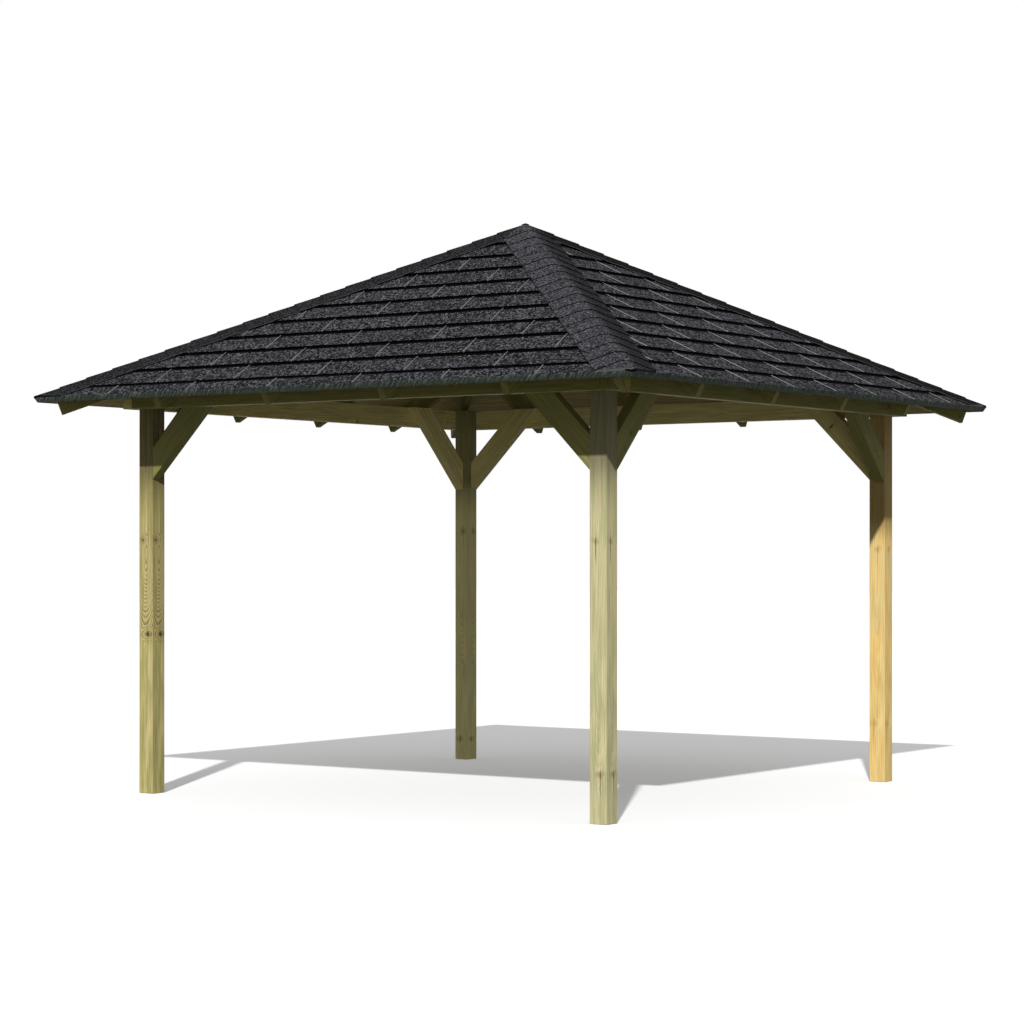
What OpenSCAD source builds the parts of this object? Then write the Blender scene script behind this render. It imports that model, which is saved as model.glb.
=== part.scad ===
// Garden gazebo: four posts, a ring of beams with knee braces and a boarded
// pyramid roof on hip and jack rafters, covered with bitumen shingles.
// The origin is on the ground at the middle of the four posts. The front is -Y.

/* [Plan and height] */
// Length of each side over the outer faces of the posts
plan_w = 2806; // [2200:1:3600]
// Clear height from the ground to the underside of the ring beams
head_h = 1938; // [1700:1:2600]

/* [Posts] */
// Side of the square posts
post_w = 90; // [70:1:140]

/* [Ring beams] */
// Thickness of the beams, which are fixed to the outer faces of the posts
beam_t = 58; // [40:1:90]
// Depth of the beams
beam_h = 110; // [90:1:180]

/* [Knee braces] */
// Thickness of the braces
brace_t = 58; // [30:1:70]
// Depth of the braces, square to their length
brace_d = 112; // [60:1:140]
// Reach from the face of the post to the outer end of a brace under the beam
brace_reach = 354; // [250:1:600]

/* [Rafters] */
// Slope of the roof in degrees
roof_pitch = 27.5; // [20:0.5:40]
// Overhang of the roof beyond the outer faces of the posts
roof_out = 371; // [270:1:500]
// Thickness of the hip and jack rafters
rafter_w = 38; // [30:1:60]
// Depth of the jack rafters, square to the slope
jack_d = 90; // [70:1:120]
// Spacing of the jack rafters from middle to middle
jack_pitch = 692; // [500:1:800]
// Inner edge of the beams that the seats of the jack rafters leave bare
seat_in = 7; // [2:1:25]
// Reach of the seats of the hip rafters in over the tops of the posts
hip_seat = 2; // [1:1:30]
// Distance from the edge of the roof to the ends of the rafters
tail_in = 75; // [40:1:140]

/* [Roof deck and covering] */
// Thickness of the deck boards
deck_t = 20; // [15:1:28]
// Thickness of the shingle covering, where one shingle laps over the next
cover_t = 9; // [6:1:14]
// Thickness of the strip along the edge of the roof
edge_t = 3; // [2:1:6]
// Height of the hip caps over the shingles, where one cap laps over the next
cap_t = 12; // [5:1:18]
// Width of each wing of a hip cap, from the hip to its lower edge
cap_w = 140; // [100:1:200]

/* [Hidden] */

// Half widths in plan, from the middle outwards
post_half = plan_w / 2;
ring_half = post_half + beam_t;
roof_half = post_half + roof_out;
tail_half = roof_half - tail_in;

// Heights
beam_top = head_h + beam_h;
jack_rise = jack_d / cos(roof_pitch);
hip_pitch = atan(tan(roof_pitch) / sqrt(2));
hip_rise = jack_rise + (seat_in + hip_seat) * tan(roof_pitch);
hip_d = hip_rise * cos(hip_pitch);
edge_d = deck_t + cover_t;
cover_rise = edge_d / cos(roof_pitch);
cap_rise = cover_rise + cap_t / cos(roof_pitch);

// Shift along the eaves that gives a hip cap's wing its width on the slope
cap_shift = cap_w / sin(atan(1 / cos(roof_pitch)));

// How far cutting shapes run on past an edge
past = 50;

// Length up a slope that runs on past the ridge
slope_len = roof_half / cos(roof_pitch) + past;

timber = "darkkhaki";
board = "tan";
felt = "dimgray";
edging = "darkslategray";

// Height of the deck's underside at a distance from the middle
function deck_z(r) = beam_top + jack_rise + (post_half + seat_in - r) * tan(roof_pitch);

// Turns for the four sides, from the front to the right, back and left
module side(n) {
  rotate([0, 0, 90 * n]) children();
}

// Everything under the front slope of the roof, raised above the deck's
// underside and carried on past the ridge, out to an edge at half
module slope(rise, half) {
  rotate([90, 0, -90])
    translate([0, 0, -half])
      linear_extrude(2 * half)
        polygon([[-past, 0], [-past, deck_z(-past) + rise], [half, deck_z(half) + rise],
          [half, 0]]);
}

// Everything under the front and the left slopes, which meet on a hip
module under_hip(rise, half) {
  intersection() {
    slope(rise, half);
    side(3) slope(rise, half);
  }
}

// Layer of the front slope of the roof, cut off at the hips. It starts and ends at
// distances up the slope from the edge of the roof, and its top and bottom lie at
// depths square to the slope, from the top of the shingles
module layer(start, end, top, bottom) {
  half = roof_half + past;
  intersection() {
    rotate([90, 0, -90])
      translate([0, 0, -half])
        linear_extrude(2 * half)
          translate([roof_half, deck_z(roof_half) + cover_rise])
            rotate(-roof_pitch)
              translate([-end, -bottom]) square([end - start, bottom - top]);
    linear_extrude(deck_z(0) + cap_rise + past)
      polygon([[0, 0], [half, -half], [-half, -half]]);
  }
}

// Post, level with the top of the beams
module post() {
  color(timber)
    translate([-post_half, -post_half, 0])
      cube([post_w, post_w, beam_top]);
}

// Beam of the front or back, which fits between the side beams
module short_beam() {
  color(timber)
    translate([-post_half, -ring_half, head_h])
      cube([2 * post_half, beam_t, beam_h]);
}

// Beam of the left or right side, which runs to the corners
module long_beam() {
  color(timber)
    translate([-ring_half, -ring_half, head_h])
      cube([beam_t, 2 * ring_half, beam_h]);
}

// Brace at the left post of a side, behind the beam and up to its top
module brace() {
  face = -post_half + post_w;
  low = head_h - brace_reach;
  wide = brace_d * sqrt(2);
  up = beam_top - low;
  color(timber)
    translate([0, -post_half + brace_t, 0])
      rotate([90, 0, 0])
        linear_extrude(brace_t)
          polygon([[face, low], [face + up, beam_top],
            [face + up - wide, beam_top], [face, low + wide]]);
}

// Jack rafter of the front side, in the middle of the roof: tail cut square
// to the slope, seated over the beam, and running on to the ridge
module jack_bar() {
  tail_z = deck_z(tail_half);
  rotate([90, 0, -90])
    translate([0, 0, -rafter_w / 2])
      linear_extrude(rafter_w)
        difference() {
          polygon([[0, deck_z(0)], [tail_half, tail_z],
            [tail_half - jack_d * sin(roof_pitch), tail_z - jack_d * cos(roof_pitch)],
            [0, deck_z(0) - jack_rise]]);
          translate([post_half, head_h - past]) square([beam_t, beam_h + past]);
        }
}

// Front quarter of the plan, less half the thickness of the hip rafters
module jack_field() {
  inset = rafter_w / sqrt(2);
  linear_extrude(deck_z(0))
    polygon([[0, -inset], [tail_half, -inset - tail_half], [-tail_half, -inset - tail_half]]);
}

// The two jack rafters of the front side at one distance from its middle
module jacks(x) {
  color(timber)
    intersection() {
      union() {
        translate([x, 0, 0]) jack_bar();
        translate([-x, 0, 0]) jack_bar();
      }
      jack_field();
    }
}

// Hip rafter towards the front left corner: bevelled on top to the two slopes,
// cut over the corner of the ring of beams and stopped short of the middle
module hip_rafter(stop) {
  tail = tail_half * sqrt(2);
  tail_z = deck_z(tail_half);
  color(timber)
    difference() {
      intersection() {
        rotate([90, 0, 225])
          translate([0, 0, -rafter_w / 2])
            linear_extrude(rafter_w)
              polygon([[stop, deck_z(0) + past],
                [tail + past * sin(hip_pitch), deck_z(0) + past],
                [tail + past * sin(hip_pitch), tail_z + past * cos(hip_pitch)],
                [tail - hip_d * sin(hip_pitch), tail_z - hip_d * cos(hip_pitch)],
                [stop, deck_z(stop / sqrt(2)) - hip_rise]]);
        under_hip(0, roof_half + past);
      }
      translate([-ring_half, -ring_half, 0])
        cube([beam_t + post_w, beam_t + post_w, beam_top]);
    }
}

module deck() {
  color(board) layer(edge_t, slope_len, cover_t, edge_d);
}

module shingles() {
  color(felt) layer(edge_t, slope_len, 0, cover_t);
}

// Strip that covers the edge of the deck and of the lowest shingles, square to the slope
module edge_strip() {
  color(edging) layer(0, edge_t, 0, edge_d);
}

// Hip cap of the front left corner, folded over the hip
module hip_cap() {
  color(felt)
    intersection() {
      difference() {
        under_hip(cap_rise, roof_half);
        under_hip(cover_rise, roof_half + past);
      }
      linear_extrude(deck_z(0) + cap_rise + past)
        polygon([[0, 0], [0, -cap_shift], [-roof_half + cap_shift, -roof_half],
          [-roof_half, -roof_half], [-roof_half, -roof_half + cap_shift], [-cap_shift, 0]]);
    }
}

module post_front_left() { side(0) post(); }
module post_front_right() { side(1) post(); }
module post_back_right() { side(2) post(); }
module post_back_left() { side(3) post(); }
module beam_front() { side(0) short_beam(); }
module beam_right() { side(2) long_beam(); }
module beam_back() { side(2) short_beam(); }
module beam_left() { side(0) long_beam(); }
module brace_front_left() { side(0) brace(); }
module brace_front_right() { side(0) mirror([1, 0, 0]) brace(); }
module brace_right_front() { side(1) brace(); }
module brace_right_back() { side(1) mirror([1, 0, 0]) brace(); }
module brace_back_right() { side(2) brace(); }
module brace_back_left() { side(2) mirror([1, 0, 0]) brace(); }
module brace_left_back() { side(3) brace(); }
module brace_left_front() { side(3) mirror([1, 0, 0]) brace(); }
module hip_rafter_front_left() { side(0) hip_rafter(0); }
module hip_rafter_front_right() { side(1) hip_rafter(rafter_w / 2); }
module hip_rafter_back_right() { side(2) hip_rafter(0); }
module hip_rafter_back_left() { side(3) hip_rafter(rafter_w / 2); }
module long_jack_rafters_front() { side(0) jacks(jack_pitch / 2); }
module long_jack_rafters_right() { side(1) jacks(jack_pitch / 2); }
module long_jack_rafters_back() { side(2) jacks(jack_pitch / 2); }
module long_jack_rafters_left() { side(3) jacks(jack_pitch / 2); }
module short_jack_rafters_front() { side(0) jacks(3 * jack_pitch / 2); }
module short_jack_rafters_right() { side(1) jacks(3 * jack_pitch / 2); }
module short_jack_rafters_back() { side(2) jacks(3 * jack_pitch / 2); }
module short_jack_rafters_left() { side(3) jacks(3 * jack_pitch / 2); }
module deck_front() { side(0) deck(); }
module deck_right() { side(1) deck(); }
module deck_back() { side(2) deck(); }
module deck_left() { side(3) deck(); }
module shingles_front() { side(0) shingles(); }
module shingles_right() { side(1) shingles(); }
module shingles_back() { side(2) shingles(); }
module shingles_left() { side(3) shingles(); }
module edge_strip_front() { side(0) edge_strip(); }
module edge_strip_right() { side(1) edge_strip(); }
module edge_strip_back() { side(2) edge_strip(); }
module edge_strip_left() { side(3) edge_strip(); }
module hip_cap_front_left() { side(0) hip_cap(); }
module hip_cap_front_right() { side(1) hip_cap(); }
module hip_cap_back_right() { side(2) hip_cap(); }
module hip_cap_back_left() { side(3) hip_cap(); }

post_front_left();
post_front_right();
post_back_right();
post_back_left();
beam_front();
beam_right();
beam_back();
beam_left();
brace_front_left();
brace_front_right();
brace_right_front();
brace_right_back();
brace_back_right();
brace_back_left();
brace_left_back();
brace_left_front();
hip_rafter_front_left();
hip_rafter_front_right();
hip_rafter_back_right();
hip_rafter_back_left();
long_jack_rafters_front();
long_jack_rafters_right();
long_jack_rafters_back();
long_jack_rafters_left();
short_jack_rafters_front();
short_jack_rafters_right();
short_jack_rafters_back();
short_jack_rafters_left();
deck_front();
deck_right();
deck_back();
deck_left();
shingles_front();
shingles_right();
shingles_back();
shingles_left();
edge_strip_front();
edge_strip_right();
edge_strip_back();
edge_strip_left();
hip_cap_front_left();
hip_cap_front_right();
hip_cap_back_right();
hip_cap_back_left();
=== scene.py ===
"""Looks of the garden gazebo: planed timbers, a boarded roof, bitumen shingles and hip caps.
The front is -Y, lengths are in metres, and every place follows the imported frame."""
import math
import random

import bmesh
import bpy
from mathutils import Matrix, Vector


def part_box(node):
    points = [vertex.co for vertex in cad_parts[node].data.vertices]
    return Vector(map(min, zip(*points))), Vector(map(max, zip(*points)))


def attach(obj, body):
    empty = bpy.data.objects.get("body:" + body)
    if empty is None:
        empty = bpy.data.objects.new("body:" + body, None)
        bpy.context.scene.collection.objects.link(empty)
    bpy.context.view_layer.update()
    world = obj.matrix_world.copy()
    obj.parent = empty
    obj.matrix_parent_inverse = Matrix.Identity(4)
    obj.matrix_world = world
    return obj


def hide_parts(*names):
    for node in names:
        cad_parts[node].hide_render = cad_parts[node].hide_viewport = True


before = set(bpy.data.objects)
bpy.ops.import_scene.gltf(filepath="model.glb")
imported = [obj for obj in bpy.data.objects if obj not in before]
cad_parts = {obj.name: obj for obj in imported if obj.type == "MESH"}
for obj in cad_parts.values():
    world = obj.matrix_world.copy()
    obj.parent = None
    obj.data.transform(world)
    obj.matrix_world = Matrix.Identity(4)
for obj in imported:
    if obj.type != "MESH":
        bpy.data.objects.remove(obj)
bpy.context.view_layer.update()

SIDES = ("front", "right", "back", "left")
CORNERS = ("front_left", "front_right", "back_right", "back_left")

# Shape of the roof, from the boxes of its CAD pieces
deck_low, deck_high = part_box("deck_front")
cover_low, cover_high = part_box("shingles_front")
ROOF_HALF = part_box("edge_strip_front")[1].x
# The top of the deck ends at this distance from the middle, at this height
DECK_HALF = deck_high.x
EAVES_Z = cover_low.z
SLOPE = math.atan2(deck_high.z - EAVES_Z, DECK_HALF)
DECK_T = (EAVES_Z - deck_low.z) / math.cos(SLOPE)
COVER_T = (cover_high.z - deck_high.z) * math.cos(SLOPE)
CAP_T = (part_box("hip_cap_front_left")[1].z - cover_high.z) * math.cos(SLOPE)
SLOPE_LENGTH = DECK_HALF / math.cos(SLOPE)
HIP_SLOPE = math.atan(math.tan(SLOPE) / math.sqrt(2))
HIP_LENGTH = DECK_HALF * math.sqrt(2) / math.cos(HIP_SLOPE)
# Fall of each wing of a hip cap, square to the hip
HIP_FOLD = math.acos(math.cos(SLOPE) ** 2) / 2

# Corners this close are one, faces with less than FLAT between them are one, an edge with
# more than SHARP is an arris, and points this near to a cutting plane lie on it
MERGE = 1e-5
FLAT = math.radians(1)
SHARP = math.radians(15)
ON_PLANE = 1e-6

# Timber
ARRIS = 0.0025
ARRIS_STEPS = 2
BOARD_W = 0.094
BOARD_GROOVE = 0.004
# Depth of the pith behind the faces of a post, its height over the top of a deck board,
# and its distance from the middle of any other timber
POST_PITH = 0.012
BOARD_PITH = -0.07
FRAME_PITH = 0.055
# Each timber is cut from its own stretch of a log this long
LOG = 60.0
# Least and most that the stretch of a deck board is moved in its log
BOARD_STRETCH = ((0.0, -0.03, -0.02), (LOG, 0.03, 0.05))
# Values for the sockets of the softwood group, with no spot within the log
NO_SPOT = (-9.0, 0.0, 0.0)
PLAIN_WOOD = {
    "Ring": 0.0055, "Clear": 0.5, "Bend": (0.0, 1.0, 0.0), "Painted shade": (0.0, 1.0, 1.0),
    "Upper spot": NO_SPOT, "Lower spot": NO_SPOT, "Crack": 0.0, "Knots": 0.0,
    "Knot": (0.12, 0.07, 0.03, 1.0), "Tint": (0.86, 0.95, 0.86, 1.0)}
FRAME_WOOD = {"Ring": 0.0065, "Clear": 0.30, "Knots": 0.8}
# Most frame timbers are painted dark, as painted shade under the roof, and the listed ones pale, as
# painted light on their inner faces
FRAME_PAINTED_SHADE_LOOK = {**FRAME_WOOD, "Pale": (0.29, 0.262, 0.090, 1.0), "Late": (0.14, 0.11, 0.03, 1.0),
              "Tint": (0.78, 0.92, 0.80, 1.0)}
FRAME_PAINTED_LIGHT_LOOK = {**FRAME_WOOD, "Pale": (0.94, 0.84, 0.40, 1.0), "Late": (0.52, 0.38, 0.15, 1.0),
               "Tint": (0.88, 0.90, 0.78, 1.0)}
PAINTED_LIGHT_FRAMES = ("beam_back", "beam_left", "brace_back_right", "brace_back_left", "brace_left_back")
BOARD_LOOK = {
    "Ring": 0.0060, "Clear": 0.7, "Knots": 0.9, "Pale": (0.52, 0.42, 0.18, 1.0),
    "Late": (0.27, 0.19, 0.07, 1.0), "Knot": (0.10, 0.06, 0.03, 1.0),
    "Tint": (0.86, 0.90, 0.80, 1.0)}
# Painted shade at the tops of the posts, for the shade under the roof: where along the post it
# starts, where it is full, and how dark it gets
POST_PAINTED_SHADE = (1.40, 1.66, 0.40)
POST_LOOKS = {
    "front_left": {
        "Ring": 0.0054, "Clear": 0.85, "Bend": (0.82, 1.20, 0.074), "Painted shade": POST_PAINTED_SHADE,
        "Upper spot": (1.278, -0.018, 0.0050), "Lower spot": (0.804, 0.014, 0.0100),
        "Pale": (0.66, 0.56, 0.255, 1.0), "Late": (0.24, 0.17, 0.06, 1.0),
        "Knot": (0.055, 0.070, 0.060, 1.0), "Tint": (0.72, 0.76, 0.62, 1.0)},
    "front_right": {
        "Ring": 0.0075, "Clear": 0.22, "Bend": (0.20, 0.60, 0.040), "Crack": 0.0024,
        "Painted shade": POST_PAINTED_SHADE, "Upper spot": (1.270, -0.012, 0.0024),
        "Lower spot": (0.224, 0.012, 0.0022), "Pale": (0.73, 0.65, 0.370, 1.0),
        "Late": (0.36, 0.30, 0.13, 1.0), "Knot": (0.20, 0.15, 0.07, 1.0),
        "Tint": (0.76, 0.83, 0.78, 1.0)},
    "back_right": {
        "Ring": 0.0080, "Clear": 0.22, "Bend": (0.30, 1.10, 0.050), "Crack": 0.0010,
        # The right post's painted shade starts lower
        "Painted shade": (1.25, 1.40, 0.50), "Upper spot": (1.232, 0.004, 0.0022),
        "Lower spot": (0.310, -0.018, 0.0022), "Pale": (0.99, 0.75, 0.320, 1.0),
        "Late": (0.70, 0.44, 0.14, 1.0), "Knot": (0.62, 0.40, 0.14, 1.0),
        "Tint": (0.95, 0.86, 0.70, 1.0)},
    # The back left post is painted paler than its wood, as painted light on it in the shade of the
    # roof
    "back_left": {
        "Ring": 0.0060, "Clear": 0.40, "Bend": (0.50, 0.90, 0.050), "Crack": 0.0010,
        "Painted shade": POST_PAINTED_SHADE, "Upper spot": (1.340, 0.012, 0.0030),
        "Lower spot": (0.120, -0.010, 0.0035), "Pale": (0.97, 0.86, 0.41, 1.0),
        "Late": (0.50, 0.39, 0.15, 1.0)},
}
CRACK_COLOR = (0.05, 0.04, 0.02, 1.0)
# Keeps what lies across the log, and drops what lies along it
ACROSS = (0.0, 1.0, 1.0)
# How many changes in a metre, along the log and across it, for the way the pith wanders,
# the ripple of the rings, the fibres and the slow change of tone
WANDER_PACE = (1.3, 3.0, 3.0)
RIPPLE_PACE = (6.0, 40.0, 40.0)
FIBRE_PACE = (5.0, 260.0, 260.0)
TONE_PACE = (4.5, 55.0, 55.0)
# How far the pith strays, and the rings ripple
STRAY = 0.03
RIPPLE = 0.003
# Small knots: the length of log that holds one, their radius, how far they push the rings
# aside, and how far and how much they darken the wood round them
KNOT_STRETCH = 0.30
KNOT_LEAST, KNOT_MOST = 0.002, 0.009
KNOT_PUSH, KNOT_PUSH_TO = 1.6, 0.060
KNOT_DUSK, KNOT_DUSK_TO = 0.45, 0.030
# Shares of a ring where its dark late wood starts, is full, fades and ends
LATE_WOOD = (0.30, 0.80, 0.88, 1.0)
# The rings fade over this length before the bend, to this strength
FADE, FADED = 0.12, 0.35
# Noise values between which the tint and the fibres come in, and the shade of the fibres
TINTED = (0.38, 0.64)
FIBRES = (0.28, 0.72, 0.80, 1.12)
CRACK_SHADE = 0.8
CRACK_DEPTH = 2.0

# Shingles: on the front and back slopes, then on the side slopes, the exposure of the first
# course, the exposure of the others, the width of a tab, where the slots of the first course
# start, how far those of each next course move on, and the share of the exposure where the
# black band of painted shade under the next butt starts
FRONT_COURSES = {"First": 0.120, "Exposure": 0.1816, "Tab": 0.508, "Start": -0.766, "Step": 0.218,
                 "Painted crevice shade": 0.855}
SIDE_COURSES = {"First": 0.147, "Exposure": 0.1784, "Tab": 0.4235, "Start": -0.335, "Step": 0.212,
                "Painted crevice shade": 0.830}
# On the same slopes, the lean of a tab's ends over the exposure, and how pale the cuts at
# its left and right ends are painted, as painted light on the ends that face the key light
FRONT_TAB = (-0.035, 0.0, 0.50)
SIDE_TAB = (0.0, 0.85, 0.0)
SLOPE_COVERS = ((FRONT_COURSES, FRONT_TAB), (SIDE_COURSES, SIDE_TAB)) * 2
# Width of the pale strip of painted light on the top of a tab's cut end, and the gap between two
# tabs
TAB_RIM = 0.0035
SLOT = 0.009
# The lip of a butt, the stretch behind it where the end walls are black as painted shade, and
# what lies under the next course
TAB_LIP = 0.0012
TAB_FOOT = 0.009
TAB_LAP = 0.02
# Share of its thickness that a tab loses over its exposure, and parts of its mesh
TAB_FALL = 0.98
TAB_COLUMNS = 7
TAB_ROWS = 6
UNDERLAY_T = 0.0006
# The shingles stop this far from the hip, under the caps
HIP_CUT = 0.03
# Most that a tab is out of place, along and up the slope
TAB_STRAY = (0.0008, 0.0010, 0.0)

# Hip caps
CAP_EXPOSURE = 0.140
CAP_START = -0.010
CAP_WING = 0.140
CAP_BEND = 0.028
CAP_LAP = 0.03
CAP_LIP = 0.0010
# The top of a cap stays this far inside its CAD piece
CAP_INSIDE = 0.0002
# Height of the rim of a wing over the shingles, fall of a cap under the next one, and how
# much of the rim is a clean cut; the rest of the rim, below it, is black as painted shade
CAP_RIM = 0.0075
CAP_STEP = 0.0045
CAP_CUT = 0.0022
# Parts of a cap's mesh: over half the bend, over a wing, and up its exposure
BEND_PARTS, WING_PARTS, CAP_ROWS = 4, 3, 3
# Painted light and shade on the left and right wings, seen up each hip, and where one gives
# way to the other
CAP_PAINTED_SHADES = ((0.18, 0.37), (1.06, 0.23), (0.04, 0.37), (0.60, 0.32))
SHADE_START = -0.036
SHADE_WIDTH = 0.030

# A granule's length against its width, the scale of the grit and of the clumps, the width
# of a granule, and how rough dark and pale ones are
GRANULE_LENGTH = 1.6
GRIT_SCALE = 520.0
CLUMP_SCALE = 42.0
SHINGLE_GRAIN = 0.0060
CAP_GRAIN = 0.0050
GRANULE_ROUGH = (0.98, 0.86)
# Range and least brightness from tab to tab, from cap to cap, and in a cap's granules
TAB_TONES = (0.22, 1.01)
CAP_TONES = (0.16, 1.58)
CAP_EVENNESS = (0.66, 0.17)
BLACK = (0.001, 0.001, 0.001, 1.0)
# Painted light on the cut ends of tabs that face the key light
SHINGLE_PAINTED_LIGHT_COLOR = (0.42, 0.42, 0.43, 1.0)
CAP_CUT_COLOR = (0.10, 0.10, 0.105, 1.0)
# Colours for a granule's tone, and for the tone of the green felt
GRANULE_STOPS = (
    (0.00, (0.0015, 0.0015, 0.0020)),
    (0.35, (0.0070, 0.0070, 0.0085)),
    (0.60, (0.0245, 0.0245, 0.0280)),
    (1.00, (0.1600, 0.1600, 0.1760)))
FELT_STOPS = (
    (0.36, (0.008, 0.012, 0.009)),
    (0.50, (0.036, 0.046, 0.036)),
    (0.62, (0.105, 0.125, 0.105)),
    (0.80, (0.200, 0.225, 0.195)))
# Rounding of the felt strips' long edges
FELT_ROUND = 0.0012
FELT_STEPS = 3

# Seeds for what differs from one timber, board, tab or cap to the next
TIMBER_SEED, BOARD_SEED, TAB_SEED, CAP_SEED = 11, 20, 40, 60

# Stage: the level of each lamp, its width in degrees, and the direction towards it
LAMPS = {"key": (3.2, 1.2, (0.6225, -1.122, 1.0)), "low_fill": (0.24, 20.0, (0.60, -0.79, -0.08))}
# What the surround adds at the top to its least level
SKY_LEVEL = 0.32
LEAST_LEVEL = 0.15
WHITE = (1.0, 1.0, 1.0, 1.0)
FLOOR_REACH = 60.0
FLOOR_COLOR = (0.90, 0.90, 0.90, 1.0)
FLOOR_GLOW = 0.21
FLOOR_BOUNCE = (0.050, 0.046, 0.034, 1.0)


# -------- node trees

class Wiring:
    """A node tree, with short ways to add nodes and to join them."""

    def __init__(self, tree):
        self.tree = tree

    def node(self, kind, values=(), **settings):
        made = self.tree.nodes.new(kind)
        for name, setting in settings.items():
            setattr(made, name, setting)
        pairs = values.items() if isinstance(values, dict) else enumerate(values)
        for key, value in pairs:
            if isinstance(value, bpy.types.NodeSocket):
                self.tree.links.new(value, made.inputs[key])
            else:
                made.inputs[key].default_value = value
        return made

    def math(self, operation, *values):
        return self.node("ShaderNodeMath", values, operation=operation).outputs[0]

    def plus(self, *values):
        return self.math("ADD", *values)

    def minus(self, *values):
        return self.math("SUBTRACT", *values)

    def times(self, *values):
        return self.math("MULTIPLY", *values)

    def most(self, *values):
        return self.math("MAXIMUM", *values)

    def line(self, value, slope, start):
        """The value times the slope, and the start added."""
        return self.math("MULTIPLY_ADD", value, slope, start)

    def vector(self, operation, *values):
        made = self.node("ShaderNodeVectorMath", values, operation=operation)
        single = operation in ("DOT_PRODUCT", "LENGTH")
        return made.outputs["Value" if single else "Vector"]

    def combine(self, x, y, z):
        return self.node("ShaderNodeCombineXYZ", (x, y, z)).outputs[0]

    def separate(self, vector):
        return self.node("ShaderNodeSeparateXYZ", (vector,)).outputs

    def ramp(self, value, low, high, start=0.0, end=1.0):
        """Carries a value smoothly from start to end as it goes from low to high."""
        made = self.node("ShaderNodeMapRange", (value, low, high, start, end),
                         interpolation_type="SMOOTHSTEP")
        return made.outputs[0]

    def spread(self, value, width):
        """Spreads a value from 0 to 1 over a width round 0."""
        return self.line(value, width, -width / 2)

    def diagonal(self, first, second):
        """The distance of a point from its places along two square axes."""
        squares = [self.times(side, side) for side in (first, second)]
        return self.math("SQRT", self.plus(*squares))

    def mix(self, factor, first, second, blend="MIX"):
        made = self.node("ShaderNodeMix", {0: factor, 6: first, 7: second},
                         data_type="RGBA", blend_type=blend)
        return made.outputs[2]

    def brighten(self, color, factor):
        """Multiplies a colour by a number."""
        return self.mix(1.0, color, self.combine(factor, factor, factor), "MULTIPLY")

    def noise(self, place, scale, detail):
        """Soft clouds, as a value and as a colour."""
        return self.node("ShaderNodeTexNoise", {
            "Vector": place, "Scale": scale, "Detail": detail}).outputs

    def streaks(self, grain, pace, detail):
        """Clouds that change at a pace of their own along each axis."""
        return self.noise(self.vector("MULTIPLY", grain, pace), 1.0, detail)

    def cells(self, place, scale):
        """Cells round scattered points, with the distance, colour and place of each."""
        return self.node("ShaderNodeTexVoronoi", {"Vector": place, "Scale": scale}).outputs

    def attribute(self, name, output="Vector"):
        """What a mesh holds under a name, for a material."""
        made = self.node("ShaderNodeAttribute", attribute_name=name, attribute_type="GEOMETRY")
        return made.outputs[output]

    def scatter(self, points, shape):
        return self.node("GeometryNodeInstanceOnPoints", {
            "Points": points, "Instance": shape}).outputs[0]

    def luck(self, seed):
        """A random value from 0 to 1 for each instance."""
        return self.node("FunctionNodeRandomValue", {"Seed": seed}, data_type="FLOAT").outputs[1]

    def luck_vector(self, least, most, seed):
        return self.node("FunctionNodeRandomValue", {0: least, 1: most, "Seed": seed},
                         data_type="FLOAT_VECTOR").outputs[0]

    def store(self, geometry, name, value, kind="FLOAT", domain="INSTANCE"):
        """Writes a value on a geometry under a name."""
        return self.node("GeometryNodeStoreNamedAttribute", {
            "Geometry": geometry, "Name": name, "Value": value},
            domain=domain, data_type=kind).outputs[0]

    def stored(self, name):
        return self.node("GeometryNodeInputNamedAttribute", {"Name": name},
                         data_type="FLOAT_VECTOR").outputs[0]

    def realize(self, geometry):
        return self.node("GeometryNodeRealizeInstances", {"Geometry": geometry}).outputs[0]

    def finish(self, geometry, material, result):
        """Ends a geometry tree with the material on all its faces."""
        done = self.node("GeometryNodeSetMaterial", {"Geometry": geometry, "Material": material})
        self.tree.links.new(done.outputs[0], result[0])


def group_tree(name, kind, inputs, outputs):
    """An empty node group, its wiring, and its two end nodes. The names of its sockets are
    given for each kind of socket."""
    tree = bpy.data.node_groups.new(name, kind)
    for sockets, way in ((inputs, "INPUT"), (outputs, "OUTPUT")):
        for socket, titles in sockets.items():
            for title in titles:
                tree.interface.new_socket(title, in_out=way, socket_type="NodeSocket" + socket)
    wiring = Wiring(tree)
    return tree, wiring, wiring.node("NodeGroupInput").outputs, wiring.node("NodeGroupOutput").inputs


# -------- shader groups

def branch_marks(w, grain, spot, width):
    """A branch that comes out of a face at a spot: its core, the dark round it, the rings
    that it pushes aside, and the crack that runs down from it."""
    blur = 0.0015
    darkest, dark_from, dark_to = 0.85, 0.006, 0.034
    smoke_reach, smoke_shift = 0.050, -0.020
    push, push_to = 2.2, 0.055
    # The crack opens, is as wide as it gets, narrows and closes at these places from the spot
    low, full, narrows, high = -0.125, -0.050, -0.012, 0.040
    wobble_width = 0.014
    _, _, size = w.separate(spot)
    along, across, _ = w.separate(w.vector("SUBTRACT", grain, spot))
    away = w.diagonal(along, across)
    core = w.ramp(w.minus(away, size), -blur, blur, 1.0, 0.0)
    smoke = w.noise(w.vector("MULTIPLY", grain, (1.0, 2.5, 0.0)), 34.0, 3.0)[0]
    patchy = w.plus(away, w.line(smoke, smoke_reach, smoke_shift))
    dusk = w.ramp(patchy, dark_from, dark_to, darkest, 0.0)
    swell = w.times(size, w.ramp(away, 0.0, push_to, push, 0.0))
    wobble = w.noise(w.combine(along, 0.0, 0.0), 18.0, 2.0)[0]
    off = w.math("ABSOLUTE", w.plus(across, w.spread(wobble, wobble_width)))
    reach = w.times(w.ramp(along, low, full), w.ramp(along, narrows, high, 1.0, 0.0))
    crack = w.math("LESS_THAN", off, w.times(reach, width))
    return core, dusk, swell, crack


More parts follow.
